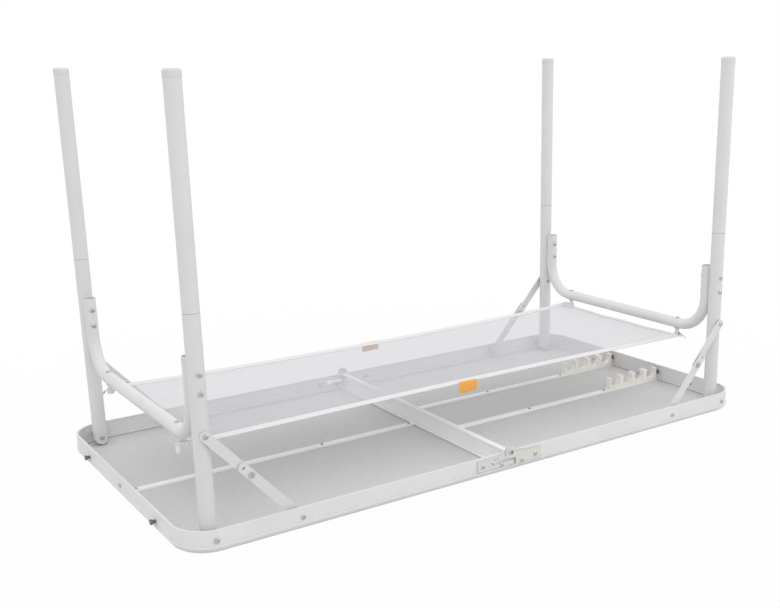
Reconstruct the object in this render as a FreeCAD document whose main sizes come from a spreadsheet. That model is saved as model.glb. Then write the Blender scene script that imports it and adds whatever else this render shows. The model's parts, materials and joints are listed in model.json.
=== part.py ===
import FreeCAD, Part
import math
import os
import re

import Sketcher
from FreeCAD import Placement, Rotation, Vector

# A folding camping table, laid on its top with its feet up.
# X runs along the table, Y across it, and Z from the tabletop face at zero to the feet.
# The left half stands at negative X. "near" pieces are at negative Y and "far" pieces at positive Y.

SIZES = {
    # whole table
    "table_length": 1200,
    "table_width": 600,
    "table_height": 700,
    "half_gap": 0.3,  # each half stops this short of the hinge line
    # fits
    "seat_gap": 0.2,  # between pieces that are glued or pressed together
    "run_gap": 0.05,  # around a pin that turns or a tube that slides
    "layer_gap": 0.3,  # between flat pieces that swing past each other
    "cut_over": 2,  # how far a cutting shape overruns the piece
    # rim extrusion and panel
    "rim_height": 37,
    "rim_wall": 2,
    "lip_reach": 1.6,  # the nose stands this proud of the wall
    "lip_height": 11,
    "nose_depth": 6,  # how far the nose rolls in under the wall
    "groove_depth": 0.9,
    "corner_radius": 60,
    "bead_width": 1.5,
    "bead_height": 2,
    "flange_width": 6,
    "flange_thickness": 1.6,
    "flange_gap": 1.2,  # shadow gap between the flange and the panel
    "panel_thickness": 4,
    # cross rails beside the hinge line, and the ribs along the panels
    "rail_wall": 2.2,
    "rail_bead": 5,
    "rail_bead_height": 3,
    "rail_foot": 11,
    "rail_heel": 6,  # the part of the foot that stands on the panel
    "rail_bevel": 1.4,
    "rib_width": 12,
    "rib_height": 3.5,
    "rib_wall": 1.2,
    "rib_spread": 72,
    # combs that hold the pulled-off leg tubes
    "clip_pitch": 35,
    "clip_height": 25,
    "clip_floor": 4,
    "finger_rise": 3,
    "clip_inset": 27,  # from the end wall to the middle of the last cradle
    # legs
    "leg_inset_x": 50,
    "leg_inset_y": 34.5,
    "pivot_height": 20,
    "leg_radius": 13,
    "tube_wall": 1.2,
    "joint_height": 363,
    "neck_length": 58,
    "joint_bevel": 0.8,
    "foot_radius": 13.3,
    "foot_height": 12,
    "foot_round": 4,
    "foot_stem": 18,
    # cross bar of each leg pair
    "bar_radius": 11,
    "bar_height": 160,
    "bar_top": 294,
    "bar_bend": 65,
    "bar_rivet_low": 244,
    "bar_rivet_high": 273,
    "rivet_radius": 2.5,
    # folding stays
    "stay_leg_height": 180,
    "stay_reach": 143,
    "stay_width": 16,
    "stay_thickness": 2.5,
    "stay_nose": 18,
    "lock_hole_radius": 2.5,
    "knee_boss_radius": 6,
    # pivot pins
    "pin_radius": 3,
    "head_radius": 5,
    "head_rise": 1.8,
    "eye_radius": 1.4,  # hollow in the middle of a rivet's head
    "eye_depth": 1.3,
    "collar_radius": 7,
    "washer_rise": 2.2,
    "corner_relief": 3,  # the leg pivots' collars stop this short of the wall, which starts to bend there
    # centre hinges
    "plate_thickness": 2,
    "plate_bottom": 12.5,
    "plate_top": 33,
    "left_plate_reach": 70,
    "right_plate_reach": 68,
    "right_plate_start": 11,
    "prong_end": 8,
    "slot_low": 20.5,
    "slot_high": 24.5,
    "slot_reach": 34,
    "keyhole_radius": 5,
    "pilot_radius": 1.3,
    "pilot_height": 29,
    "pilot_spacing": 7,
    "shoulder_reach": 40,
    "knuckle_radius": 11,
    "bolt_radius": 3,
    "bolt_head_radius": 6.5,
    "bolt_head_rise": 3,
    "left_rivet_out": 60,
    "left_rivet_in": 19,
    "right_rivet_out": 55,
    "right_rivet_in": 25,
    "outer_rivet_height": 21,
    "inner_rivet_height": 16,
    # catches on the end walls
    "stud_spread": 170,
    "catch_height": 18,
    "stud_neck_radius": 3,
    "stud_neck": 6,
    "stud_head_radius": 4.5,
    "stud_head": 3,
    "catch_width": 12,
    "catch_thickness": 2,
    "catch_tail": 8,
    # carry strap on the right end wall
    "strap_spread": 72.5,
    "strap_height": 21.5,
    "strap_width": 15,
    "strap_thickness": 3,
    "strap_stand_off": 4,
    "strap_end_length": 24,
    "strap_end_width": 17,
    "strap_end_rise": 9,
    "strap_round": 2,
    "strap_edge_round": 1,
    "strap_screw_radius": 2.5,
    "strap_nut_radius": 5,
    "strap_nut_rise": 4,
    # shelf net
    "net_height": 136,
    "net_thickness": 1.2,
    "net_gap": 11,  # from the legs' line to the net's end
    "net_end_width": 190,
    "net_waist": 174,
    "hem_width": 19,
    "hem_thickness": 2.4,
    "end_hem_width": 9,
    "tag_width": 40,
    "tag_reach": 20,
    "tag_thickness": 1,
    # buttons under the cross bars that hold the net's corners
    "button_spread": 168,
    "button_post": 4,
    "button_flange": 6,
    "button_flange_rise": 2,
    "button_length": 18,
    "screw_radius": 2,
    "screw_head_radius": 4.5,
    "loop_thickness": 2.4,
}

doc = FreeCAD.newDocument("FoldingTable")
sheet = doc.addObject("Spreadsheet::Sheet", "sizes")
for row, (alias, size) in enumerate(SIZES.items(), 1):
    sheet.set(f"A{row}", alias)
    sheet.set(f"B{row}", str(size))
    sheet.setAlias(f"B{row}", alias)
doc.recompute()

# Places that several pieces share, as expressions of the sheet's cells
WALL_X = "(table_length / 2 - lip_reach)"
WALL_Y = "(table_width / 2 - lip_reach)"
INNER_X = f"({WALL_X} - rim_wall)"
INNER_Y = f"({WALL_Y} - rim_wall)"
WALL_ROUND = "(corner_radius - lip_reach)"
LEG_X = "(table_length / 2 - leg_inset_x)"
LEG_Y = "(table_width / 2 - leg_inset_y)"
BAR_Y = f"({LEG_Y} - leg_radius - bar_radius - seat_gap)"
STAY_X = f"({LEG_X} - stay_reach)"
STAY_RISE = "(stay_leg_height - pivot_height)"
STAY_SPAN = f"sqrt({STAY_RISE}^2 + stay_reach^2)"
UPPER_STAY = f"(({STAY_SPAN} - {STAY_RISE} + stay_reach) / 2)"
LOWER_STAY = f"(({STAY_SPAN} + {STAY_RISE} - stay_reach) / 2)"
STAY_SLOPE = f"atan({STAY_RISE} / stay_reach)"
# Distances from the table's middle plane to the inner faces of the stays' layers
UPPER_LAYER = f"({LEG_Y} + leg_radius + washer_rise + layer_gap)"
PIN_HEAD_LAYER = f"({UPPER_LAYER} + stay_thickness + layer_gap)"
LOWER_LAYER = f"({PIN_HEAD_LAYER} + head_rise + 2 * layer_gap)"
FLANGE_LOW = "(panel_thickness + flange_gap)"
FLANGE_TOP = f"({FLANGE_LOW} + flange_thickness)"
SLOT_ROUND = "((slot_high - slot_low) / 2)"
SLOT_MIDDLE = "((slot_high + slot_low) / 2)"
RIB_TOP = "(panel_thickness + rib_height)"
PLATE_OUT = f"({WALL_Y} + layer_gap + plate_thickness)"
NOSE_X = f"({WALL_X} - nose_depth)"
NOSE_Y = f"({WALL_Y} - nose_depth)"
NET_EDGE = f"({LEG_X} - net_gap)"
NET_END = f"({NET_EDGE} - end_hem_width)"
NEAR, FAR = -1, 1
SIDES = (("near", NEAR), ("far", FAR))
LEFT, RIGHT = -1, 1
ENDS = (("left", LEFT), ("right", RIGHT))
HALF_TURN, QUARTER_TURN = 180, 90


def bound(text):
    """The expression with every cell named through its sheet."""
    return re.sub(r"[a-z_]+", lambda m: f"sizes.{m.group()}" if m.group() in SIZES else m.group(), text)


def number(text):
    """The expression's value in millimetres."""
    return float(sheet.evalExpression(text))


def bind(thing, prop, text):
    thing.setExpression(prop, bound(text))


def place(thing, x="0", y="0", z="0", turn=None):
    """Sets a piece down at a point, turned about its own origin."""
    if turn:
        thing.Placement = Placement(Vector(), turn)
    for name, text in zip("xyz", (x, y, z)):
        if text != "0":
            bind(thing, f"Placement.Base.{name}", text)
    return thing


def new_body(label):
    body = doc.addObject("PartDesign::Body", label)
    body.Label = label
    return body


def new_sketch(body, role, lift="0"):
    """A sketch on one of the body's own planes, lifted along the plane's normal."""
    sketch = body.newObject("Sketcher::SketchObject", "sketch")
    plane = next(f for f in body.Origin.OriginFeatures if f.Role == role)
    sketch.AttachmentSupport = (plane, [""])
    sketch.MapMode = "FlatFace"
    if lift != "0":
        bind(sketch, "AttachmentOffset.Base.z", lift)
    return sketch


def fix(sketch, kind, places, text):
    """Adds a dimension that follows an expression."""
    index = sketch.addConstraint(Sketcher.Constraint(kind, *places, number(text)))
    bind(sketch, f"Constraints[{index}]", text)


def circle(sketch, x, y, radius):
    where = Vector(number(x), number(y), 0)
    ring = sketch.addGeometry(Part.Circle(where, Vector(0, 0, 1), number(radius)))
    fix(sketch, "Radius", (ring,), radius)
    fix(sketch, "DistanceX", (-1, 1, ring, 3), x)
    fix(sketch, "DistanceY", (-1, 1, ring, 3), y)


def arc_between(start, end, radius, side):
    """The shorter arc from start to end; side 1 turns left along it and side -1 right."""
    chord = end - start
    rise = math.sqrt(max(radius**2 - chord.Length**2 / 4, 0))
    left = Vector(-chord.y, chord.x, 0).normalize()
    middle = (start + end) * 0.5 + left * (side * rise)
    first, last = (start, end) if side > 0 else (end, start)
    angles = [math.atan2(p.y - middle.y, p.x - middle.x) for p in (first, last)]
    return Part.ArcOfCircle(Part.Circle(middle, Vector(0, 0, 1), radius), *angles)


def trace(sketch, points, closed=True):
    """Draws lines, or arcs where a point also has a radius and a side, through points."""
    spots = [Vector(number(p[0]), number(p[1]), 0) for p in points]
    runs = []
    for i in range(0 if closed else 1, len(points)):
        start, end = spots[i - 1], spots[i]
        if len(points[i]) == 2:
            runs.append((sketch.addGeometry(Part.LineSegment(start, end)), 1, 2))
            continue
        radius, side = points[i][2:]
        arc = sketch.addGeometry(arc_between(start, end, number(radius), side))
        runs.append((arc, 1, 2) if side > 0 else (arc, 2, 1))
        fix(sketch, "Radius", (arc,), radius)
    for (one, _, tail), (two, head, _) in zip(runs, runs[1:]):
        sketch.addConstraint(Sketcher.Constraint("Coincident", one, tail, two, head))
    if closed:
        last, first = runs[-1], runs[0]
        sketch.addConstraint(Sketcher.Constraint("Coincident", last[0], last[2], first[0], first[1]))
    for (run, head, tail), point in zip(runs, points if closed else points[1:]):
        fix(sketch, "DistanceX", (-1, 1, run, tail), point[0])
        fix(sketch, "DistanceY", (-1, 1, run, tail), point[1])
    if not closed:
        fix(sketch, "DistanceX", (-1, 1, runs[0][0], runs[0][1]), points[0][0])
        fix(sketch, "DistanceY", (-1, 1, runs[0][0], runs[0][1]), points[0][1])


def box_points(x0, y0, x1, y1):
    return [(x0, y0), (x1, y0), (x1, y1), (x0, y1)]


def pad(body, sketch, length, reverse=False, both_ways=True):
    feature = body.newObject("PartDesign::Pad", "pad")
    feature.Profile = sketch
    feature.SideType = "Symmetric" if both_ways else "One side"
    feature.Reversed = reverse
    bind(feature, "Length", length)
    return feature


def pierce(body, sketch):
    """Cuts the sketch through the whole body, both ways."""
    feature = body.newObject("PartDesign::Pocket", "pocket")
    feature.Profile = sketch
    feature.SideType = "Symmetric"
    feature.Type = "ThroughAll"
    return feature


def sweep(body, profile, path):
    feature = body.newObject("PartDesign::AdditivePipe", "sweep")
    doc.recompute()
    feature.Profile = profile
    feature.Spine = (path, [f"Edge{i + 1}" for i in range(len(path.Geometry))])
    return feature


def turned(label, points):
    """A body turned about its own Z axis from a half section of radii and heights."""
    body = new_body(label)
    section = new_sketch(body, "XZ_Plane")
    trace(section, points)
    feature = body.newObject("PartDesign::Revolution", "turn")
    feature.Profile = section
    feature.ReferenceAxis = (section, ["V_Axis"])
    return body


def pin_section(stages, tail=True, head=True, head_radius="head_radius", head_rise="head_rise"):
    """Half section of a pin with stages of (radius, length) and domed ends that have a hollow eye."""
    dome = f"((({head_radius})^2 + ({head_rise})^2) / (2 * {head_rise}))"
    rim_rise = f"(sqrt({dome}^2 - eye_radius^2) - {dome} + {head_rise})"
    floor = f"({rim_rise} - eye_depth)"
    points = [("0", "0")]
    if tail:
        points = [("0", f"-{floor}"), ("eye_radius", f"-{floor}"), ("eye_radius", f"-{rim_rise}")]
        points.append((head_radius, "0", dome, 1))
    height = "0"
    for radius, length in stages:
        points.append((radius, height))
        height = f"({height} + {length})"
        points.append((radius, height))
    if head:
        points.append((head_radius, height))
        points.append(("eye_radius", f"{height} + {rim_rise}", dome, 1))
        points.append(("eye_radius", f"{height} + {floor}"))
        points.append(("0", f"{height} + {floor}"))
    else:
        points.append(("0", height))
    return points


def outward(side):
    """Turns a pin's Z axis away from the table's middle plane."""
    return Rotation(Vector(1, 0, 0), -side * QUARTER_TURN)


def side_pin(label, side, x, inner, z, stages, **ends):
    """A pin that points outwards through a long wall, from a distance off the middle plane."""
    return place(turned(label, pin_section(stages, **ends)), x, f"{side} * {inner}", z, outward(side))


def group(label, pieces):
    """Several like pieces that share one name."""
    together = doc.addObject("Part::Compound", label)
    together.Label = label
    together.Links = pieces
    return together


def ring_plate(body, radius, bore, height, lift):
    """A flat ring on the body's XY plane."""
    sketch = new_sketch(body, "XY_Plane", lift)
    circle(sketch, "0", "0", radius)
    circle(sketch, "0", "0", bore)
    return pad(body, sketch, height)


def whole_turn(end):
    """Turns a left-hand piece round to the right half."""
    return Rotation(Vector(0, 0, 1), HALF_TURN if end == RIGHT else 0)


# Rim: one extrusion bent round three sides of each half, with a rolled nose along the tabletop

def hinge_window(body):
    """Opens the long walls behind the slot of the left hinge plates."""
    stop = "-half_gap - rail_bead"
    window = new_sketch(body, "XZ_Plane")
    trace(
        window,
        [
            ("-slot_reach", "slot_low", SLOT_ROUND, 1),
            (stop, "slot_low"),
            (stop, "slot_high"),
            ("-slot_reach", "slot_high"),
            (f"-slot_reach - {SLOT_ROUND}", SLOT_MIDDLE, SLOT_ROUND, 1),
        ],
    )
    pierce(body, window)
    keyhole(body)


def keyhole(body):
    """The round end of the hinge slot."""
    sketch = new_sketch(body, "XZ_Plane")
    circle(sketch, f"-slot_reach - {SLOT_ROUND}", SLOT_MIDDLE, "keyhole_radius")
    pierce(body, sketch)


def rim(label, end, rivets, end_holes):
    body = new_body(label)
    path = new_sketch(body, "XY_Plane")
    trace(
        path,
        [
            ("-half_gap", f"-{WALL_Y}"),
            (f"-{WALL_X} + {WALL_ROUND}", f"-{WALL_Y}"),
            (f"-{WALL_X}", f"-{WALL_Y} + {WALL_ROUND}", WALL_ROUND, -1),
            (f"-{WALL_X}", f"{WALL_Y} - {WALL_ROUND}"),
            (f"-{WALL_X} + {WALL_ROUND}", WALL_Y, WALL_ROUND, -1),
            ("-half_gap", WALL_Y),
        ],
        closed=False,
    )
    section = new_sketch(body, "YZ_Plane", "-half_gap")
    outer, inner = f"-{WALL_Y}", f"-{INNER_Y}"
    nose, roll = f"-{NOSE_Y}", "(nose_depth + lip_reach)"
    nose_round = f"({roll}^2 + lip_height^2) / (2 * {roll})"
    trace(
        section,
        [
            (nose, FLANGE_LOW),
            (f"{inner} + flange_width", FLANGE_LOW),
            (f"{inner} + flange_width", FLANGE_TOP),
            (inner, FLANGE_TOP),
            (inner, "rim_height - bead_height"),
            (f"{inner} + bead_width", "rim_height - bead_height"),
            (f"{inner} + bead_width", "rim_height"),
            (outer, "rim_height"),
            (outer, "lip_height + 2 * groove_depth"),
            (f"{outer} + groove_depth", "lip_height + groove_depth"),
            (f"{outer} - lip_reach", "lip_height"),
            (nose, "0", nose_round, 1),
        ],
    )
    sweep(body, section, path)
    holes = new_sketch(body, "XZ_Plane")
    circle(holes, f"-{LEG_X}", "pivot_height", "pin_radius + run_gap")
    circle(holes, f"-{STAY_X}", "pivot_height", "pin_radius + run_gap")
    for reach, height in rivets:
        circle(holes, f"-{reach}", height, "rivet_radius + run_gap")
    pierce(body, holes)
    through_end = new_sketch(body, "YZ_Plane")
    for spread, height, radius in end_holes:
        for side in (NEAR, FAR):
            circle(through_end, f"{side} * {spread}", height, f"{radius} + run_gap")
    pierce(body, through_end)
    if end == LEFT:
        hinge_window(body)
    return place(body, turn=whole_turn(end))


LEFT_RIVETS = (("left_rivet_out", "outer_rivet_height"), ("left_rivet_in", "inner_rivet_height"))
RIGHT_RIVETS = (("right_rivet_out", "outer_rivet_height"), ("right_rivet_in", "inner_rivet_height"))
STUD_HOLES = [("stud_spread", "catch_height", "stud_neck_radius")]
STRAP_HOLES = [
    ("stud_spread", "catch_height", "rivet_radius"),
    ("strap_spread", "strap_height", "strap_screw_radius"),
]
left_rim = rim("left_rim", LEFT, LEFT_RIVETS, STUD_HOLES)
right_rim = rim("right_rim", RIGHT, RIGHT_RIVETS, STRAP_HOLES)


# Panel: flat board that fills the rim and is glued under its flange

def panel(label, end):
    body = new_body(label)
    outline = new_sketch(body, "XY_Plane")
    far, side = f"({NOSE_X} - seat_gap)", f"({NOSE_Y} - seat_gap)"
    bend = f"({WALL_ROUND} - nose_depth - seat_gap)"
    trace(
        outline,
        [
            ("-half_gap", f"-{side}"),
            ("-half_gap", side),
            (f"-{far} + {bend}", side),
            (f"-{far}", f"{side} - {bend}", bend, 1),
            (f"-{far}", f"-{side} + {bend}"),
            (f"-{far} + {bend}", f"-{side}", bend, 1),
        ],
    )
    pad(body, outline, "panel_thickness", both_ways=False)
    return place(body, turn=whole_turn(end))


panels = [panel(f"{name}_panel", end) for name, end in ENDS]


# Cross rails: a wall with a beaded top edge on a foot strip, which close each half beside the hinge line

def rail_wall(label, end):
    body = new_body(label)
    near, back, bead = "-half_gap", "-half_gap - rail_wall", "-half_gap - rail_bead"
    base = f"{FLANGE_TOP} + seat_gap"
    section = new_sketch(body, "XZ_Plane")
    trace(
        section,
        [
            (near, base),
            (near, "rim_height - rail_bevel"),
            ("-half_gap - rail_bevel", "rim_height"),
            (bead, "rim_height"),
            (bead, "rim_height - rail_bead_height"),
            (back, "rim_height - rail_bead_height"),
            (back, base),
        ],
    )
    pad(body, section, f"2 * ({INNER_Y} - bead_width - seat_gap)")
    return place(body, turn=whole_turn(end))


def rail_foot(label, end):
    body = new_body(label)
    near, heel, edge = "-half_gap", "-half_gap - rail_heel", "-half_gap - rail_foot"
    section = new_sketch(body, "XZ_Plane")
    trace(
        section,
        [
            (near, "panel_thickness"),
            (near, FLANGE_TOP),
            (edge, FLANGE_TOP),
            (edge, FLANGE_LOW),
            (heel, FLANGE_LOW),
            (heel, "panel_thickness"),
        ],
    )
    pad(body, section, f"2 * ({INNER_Y} - flange_width - seat_gap)")
    return place(body, turn=whole_turn(end))


for end_name, end in ENDS:
    label = f"{end_name}_cross_rail"
    group(label, [rail_wall(f"{label}_wall", end), rail_foot(f"{label}_foot", end)])


# Ribs: shallow channels along the inside of the panels

def rib(label, end, y):
    body = new_body(label)
    start = "(half_gap + rail_foot + seat_gap)"
    section = new_sketch(body, "YZ_Plane", f"-{start}")
    half, floor = "rib_width / 2", "panel_thickness"
    trace(
        section,
        [
            (f"-{half}", floor),
            (f"-{half} + rib_wall", floor),
            (f"-{half} + rib_wall", f"{RIB_TOP} - rib_wall"),
            (f"{half} - rib_wall", f"{RIB_TOP} - rib_wall"),
            (f"{half} - rib_wall", floor),
            (half, floor),
            (half, RIB_TOP),
            (f"-{half}", RIB_TOP),
        ],
    )
    pad(body, section, f"{INNER_X} - flange_width - seat_gap - {start}", reverse=True, both_ways=False)
    return place(body, y=y, turn=whole_turn(end))


left_rib = rib("left_rib", LEFT, "0")
right_ribs = group("right_ribs", [rib(f"right_rib_{name}", RIGHT, f"{side} * rib_spread") for name, side in SIDES])


# Combs on the right ribs, each with four cradles for the pulled-off leg tubes
CRADLES = 4


def comb(label, side):
    """A moulded comb: each cradle wraps past half of its tube, and the fingers have rounded tips."""
    body = new_body(label)
    bore, base, top = "(leg_radius + layer_gap)", RIB_TOP, f"({RIB_TOP} + clip_height)"
    middle = f"({RIB_TOP} + clip_floor + {bore})"
    mouth = f"sqrt({bore}^2 - ({top} - {middle})^2)"
    tip = f"(clip_pitch / 2 - {mouth})"
    tip_round = f"({tip}^2 + finger_rise^2) / (2 * finger_rise)"
    last = f"({INNER_X} - clip_inset)"
    spots = [f"({last} - {CRADLES - 1 - i} * clip_pitch)" for i in range(CRADLES)]
    start, stop = f"{spots[0]} - clip_pitch / 2", f"{last} + clip_pitch / 2"
    points = [(start, base), (stop, base), (stop, top)]
    for i, x in enumerate(reversed(spots)):
        crown = () if i == 0 else (tip_round, 1)
        points.append((f"{x} + {mouth}", top, *crown))
        points.append((f"{x} + {bore}", middle, bore, -1))
        points.append((x, f"{middle} - {bore}", bore, -1))
        points.append((f"{x} - {bore}", middle, bore, -1))
        points.append((f"{x} - {mouth}", top, bore, -1))
    points.append((start, top))
    outline = new_sketch(body, "XZ_Plane", f"{-side} * rib_spread")
    trace(outline, points)
    pad(body, outline, "rib_width")
    return body


tube_clips = group("tube_clips", [comb(f"tube_clip_{name}", side) for name, side in SIDES])


# Centre hinges: a slotted plate on the left half and a lug plate on the right, outside the long walls

def left_plate(label, side):
    body = new_body(label)
    outline = new_sketch(body, "XZ_Plane", f"{-side} * ({PLATE_OUT} - plate_thickness / 2)")
    trace(
        outline,
        [
            ("-left_plate_reach", "plate_bottom"),
            ("prong_end", "plate_bottom"),
            ("prong_end", "slot_low"),
            ("-slot_reach", "slot_low"),
            (f"-slot_reach - {SLOT_ROUND}", SLOT_MIDDLE, SLOT_ROUND, -1),
            ("-slot_reach", "slot_high", SLOT_ROUND, -1),
            ("0", "rim_height - knuckle_radius"),
            ("knuckle_radius", "rim_height", "knuckle_radius", 1),
            ("0", "rim_height + knuckle_radius", "knuckle_radius", 1),
            ("-knuckle_radius", "rim_height", "knuckle_radius", 1),
            ("-shoulder_reach", "plate_top"),
            ("-left_plate_reach", "plate_top"),
        ],
    )
    pad(body, outline, "plate_thickness")
    holes = new_sketch(body, "XZ_Plane")
    circle(holes, "0", "rim_height", "bolt_radius + run_gap")
    for reach, height in LEFT_RIVETS:
        circle(holes, f"-{reach}", height, "rivet_radius + run_gap")
    for step in (0, 1):
        circle(holes, f"-slot_reach + {step} * pilot_spacing", "pilot_height", "pilot_radius")
    pierce(body, holes)
    keyhole(body)
    return body


def right_plate(label, side):
    body = new_body(label)
    lug_middle = f"({PLATE_OUT} + layer_gap + plate_thickness / 2)"
    outline = new_sketch(body, "XZ_Plane", f"{-side} * {lug_middle}")
    trace(
        outline,
        [
            ("right_plate_start", "plate_bottom"),
            ("right_plate_reach", "plate_bottom"),
            ("right_plate_reach", "plate_top"),
            ("shoulder_reach", "plate_top"),
            ("knuckle_radius", "rim_height"),
            ("0", "rim_height + knuckle_radius", "knuckle_radius", 1),
            ("-knuckle_radius", "rim_height", "knuckle_radius", 1),
            ("0", "rim_height - knuckle_radius", "knuckle_radius", 1),
            ("right_plate_start", "slot_high"),
        ],
    )
    pad(body, outline, "plate_thickness")
    packing = f"(plate_thickness + 2 * layer_gap)"
    backing = new_sketch(body, "XZ_Plane", f"{-side} * ({WALL_Y} + {packing} / 2)")
    start = "right_plate_start + plate_thickness"
    trace(backing, box_points(start, "plate_bottom", "right_plate_reach", "plate_top - plate_thickness"))
    pad(body, backing, packing)
    holes = new_sketch(body, "XZ_Plane")
    circle(holes, "0", "rim_height", "bolt_radius + run_gap")
    for reach, height in RIGHT_RIVETS:
        circle(holes, reach, height, "rivet_radius + run_gap")
    pierce(body, holes)
    return body


left_plates = group("left_hinge_plates", [left_plate(f"left_plate_{n}", s) for n, s in SIDES])
right_plates = group("right_hinge_plates", [right_plate(f"right_plate_{n}", s) for n, s in SIDES])


def hinge_bolt(label, side):
    stages = [("bolt_radius", "2 * plate_thickness + 2 * layer_gap")]
    ends = {"tail": False, "head_radius": "bolt_head_radius", "head_rise": "bolt_head_rise"}
    return side_pin(label, side, "0", f"({WALL_Y} + layer_gap)", "rim_height", stages, **ends)


hinge_bolts = group("hinge_bolts", [hinge_bolt(f"hinge_bolt_{n}", s) for n, s in SIDES])


def hinge_rivets(label, end, spots, thickness):
    pieces = []
    for name, side in SIDES:
        for i, (reach, height) in enumerate(spots):
            stages = [("rivet_radius", f"rim_wall + {thickness}")]
            x = f"{end} * {reach}"
            pieces.append(side_pin(f"{label}_{name}_{i}", side, x, INNER_Y, height, stages))
    return group(label, pieces)


left_hinge_rivets = hinge_rivets("left_hinge_rivets", LEFT, LEFT_RIVETS, f"{PLATE_OUT} - {WALL_Y}")
right_hinge_rivets = hinge_rivets(
    "right_hinge_rivets", RIGHT, RIGHT_RIVETS, "2 * plate_thickness + 2 * layer_gap"
)


# Legs: a fixed tube with a rounded foot on its pivot, and a necked tube that plugs into it

def leg_tube(label, end, side):
    body = new_body(label)
    ring = new_sketch(body, "XY_Plane", "pivot_height - leg_radius")
    circle(ring, "0", "0", "leg_radius")
    circle(ring, "0", "0", "leg_radius - tube_wall")
    pad(body, ring, "joint_height - pivot_height + leg_radius", both_ways=False)
    wide, low = "leg_radius + cut_over", "pivot_height - leg_radius - cut_over"
    waste = new_sketch(body, "XZ_Plane")
    trace(
        waste,
        [
            (f"-({wide})", low),
            (wide, low),
            (wide, "pivot_height"),
            ("leg_radius", "pivot_height"),
            ("0", "pivot_height - leg_radius", "leg_radius", -1),
            ("-leg_radius", "pivot_height", "leg_radius", -1),
            (f"-({wide})", "pivot_height"),
        ],
    )
    pierce(body, waste)
    holes = new_sketch(body, "XZ_Plane")
    for height in ("pivot_height", "stay_leg_height"):
        circle(holes, "0", height, "pin_radius + run_gap")
    for height in ("bar_rivet_low", "bar_rivet_high"):
        circle(holes, "0", height, "rivet_radius + run_gap")
    pierce(body, holes)
    return place(body, f"{end} * {LEG_X}", f"{side} * {LEG_Y}")


def extension_tube(label, end, side):
    bore, neck = "(leg_radius - tube_wall)", "(leg_radius - tube_wall - run_gap)"
    top, joint = "table_height - foot_height", "joint_height + seat_gap"
    body = turned(
        label,
        [
            (f"{neck} - tube_wall", "joint_height - neck_length"),
            (neck, "joint_height - neck_length"),
            (neck, joint),
            ("leg_radius - joint_bevel", joint),
            ("leg_radius", f"{joint} + joint_bevel"),
            ("leg_radius", top),
            (bore, top),
            (bore, f"{joint} + 2 * tube_wall"),
            (f"{neck} - tube_wall", f"{joint} + tube_wall"),
        ],
    )
    return place(body, f"{end} * {LEG_X}", f"{side} * {LEG_Y}")


def foot_cap(label, end, side):
    base, stem = "table_height - foot_height", "(leg_radius - tube_wall - seat_gap)"
    body = turned(
        label,
        [
            ("0", f"{base} - foot_stem"),
            (stem, f"{base} - foot_stem"),
            (stem, base),
            ("foot_radius", base),
            ("foot_radius", "table_height - foot_round"),
            ("foot_radius - foot_round", "table_height", "foot_round", 1),
            ("0", "table_height"),
        ],
    )
    return place(body, f"{end} * {LEG_X}", f"{side} * {LEG_Y}")


leg_pieces = []
for end_name, end in ENDS:
    for side_name, side in SIDES:
        corner = f"{side_name}_{end_name}"
        leg_pieces.append(leg_tube(f"{corner}_leg_tube", end, side))
        leg_pieces.append(extension_tube(f"{corner}_extension_tube", end, side))
        leg_pieces.append(foot_cap(f"{corner}_foot_cap", end, side))


# Cross bars: one bent tube between the legs of each pair

def cross_bar(label, end):
    body = new_body(label)
    path = new_sketch(body, "YZ_Plane")
    bend_top = "bar_height + bar_bend"
    trace(
        path,
        [
            (f"-{BAR_Y}", "bar_top"),
            (f"-{BAR_Y}", bend_top),
            (f"-{BAR_Y} + bar_bend", "bar_height", "bar_bend", 1),
            (f"{BAR_Y} - bar_bend", "bar_height"),
            (BAR_Y, bend_top, "bar_bend", 1),
            (BAR_Y, "bar_top"),
        ],
        closed=False,
    )
    ring = new_sketch(body, "XY_Plane", "bar_top")
    circle(ring, "0", f"-{BAR_Y}", "bar_radius")
    circle(ring, "0", f"-{BAR_Y}", "bar_radius - tube_wall")
    sweep(body, ring, path)
    holes = new_sketch(body, "XZ_Plane")
    for height in ("bar_rivet_low", "bar_rivet_high"):
        circle(holes, "0", height, "rivet_radius + run_gap")
    pierce(body, holes)
    screws = new_sketch(body, "XY_Plane")
    for side in (NEAR, FAR):
        circle(screws, "0", f"{side} * button_spread", "screw_radius + run_gap")
    pierce(body, screws)
    return place(body, f"{end} * {LEG_X}")


cross_bars = [cross_bar(f"{name}_cross_bar", end) for name, end in ENDS]


def bar_rivets(label, end):
    stages = [("rivet_radius", "2 * leg_radius + 2 * bar_radius + seat_gap")]
    pieces = []
    for name, side in SIDES:
        for height in ("bar_rivet_low", "bar_rivet_high"):
            start = f"({BAR_Y} - bar_radius)"
            pieces.append(side_pin(f"{label}_{name}_{height}", side, f"{end} * {LEG_X}", start, height, stages))
    return group(label, pieces)


def leg_pivots(label, end):
    """Shoulder rivets that carry the legs off the long walls."""
    stages = [
        ("pin_radius", "2 * leg_radius + 2 * layer_gap"),
        ("collar_radius", f"{INNER_Y} - corner_relief - ({LEG_Y} + leg_radius + layer_gap)"),
        ("pin_radius", "corner_relief + rim_wall"),
    ]
    start = f"({LEG_Y} - leg_radius - layer_gap)"
    x = f"{end} * {LEG_X}"
    return group(label, [side_pin(f"{label}_{n}", s, x, start, "pivot_height", stages) for n, s in SIDES])


def stay_leg_pivots(label, end):
    """Rivets through the legs, with a washer under each upper stay."""
    stages = [
        ("pin_radius", "2 * leg_radius"),
        ("collar_radius", "washer_rise"),
        ("pin_radius", "stay_thickness + 2 * layer_gap"),
    ]
    start = f"({LEG_Y} - leg_radius)"
    x = f"{end} * {LEG_X}"
    return group(label, [side_pin(f"{label}_{n}", s, x, start, "stay_leg_height", stages) for n, s in SIDES])


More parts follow.
